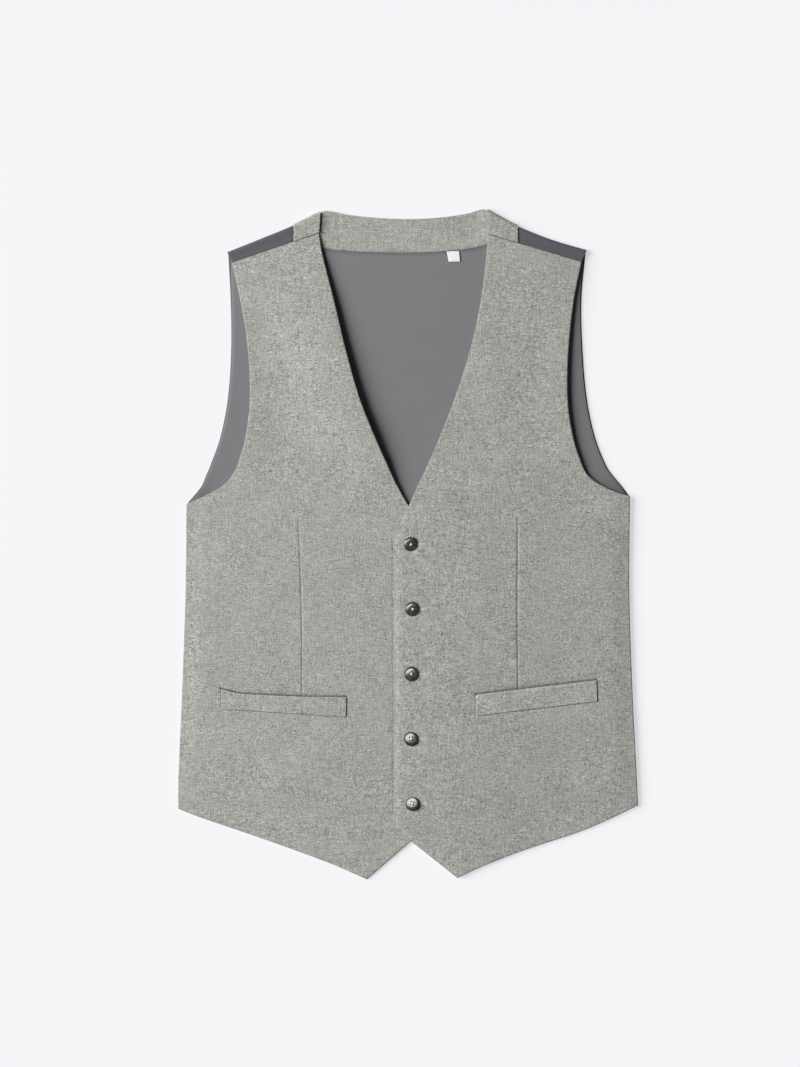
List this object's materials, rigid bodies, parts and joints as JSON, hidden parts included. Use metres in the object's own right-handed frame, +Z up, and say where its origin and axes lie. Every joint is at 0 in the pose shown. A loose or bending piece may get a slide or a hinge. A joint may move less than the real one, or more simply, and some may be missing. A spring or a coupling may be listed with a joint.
{
  "type": "suit waistcoat",
  "caption": "Single-breasted wool waistcoat with satin back, welt pockets and pointed hem, buttoned and laid flat on its back.",
  "frame": {"origin": "centre of the laid garment's outline, on the surface that it lies on", "axes": "+Y from the hem to the neck, +X to the wearer's left, +Z up from the surface, through the back and then the fronts"},
  "size_m": [0.4717, 0.687, 0.0131],
  "materials": {
    "wool": "light grey melange wool flannel, soft nap, pressed",
    "satin": "dark grey acetate satin, low sheen",
    "lining": "mid grey acetate satin lining",
    "tape": "white woven satin tape, blank",
    "horn": "polished dark horn"
  },
  "bodies": {
    "root": {"front_left": "wool", "front_right": "wool", "welt_left": "wool", "welt_right": "wool", "neckband": "wool", "neck_facing": "wool", "back": "satin", "back_lining": "lining", "label": "tape", "button_1": "horn", "button_2": "horn", "button_3": "horn", "button_4": "horn", "button_5": "horn"}
  },
  "joints": []
}
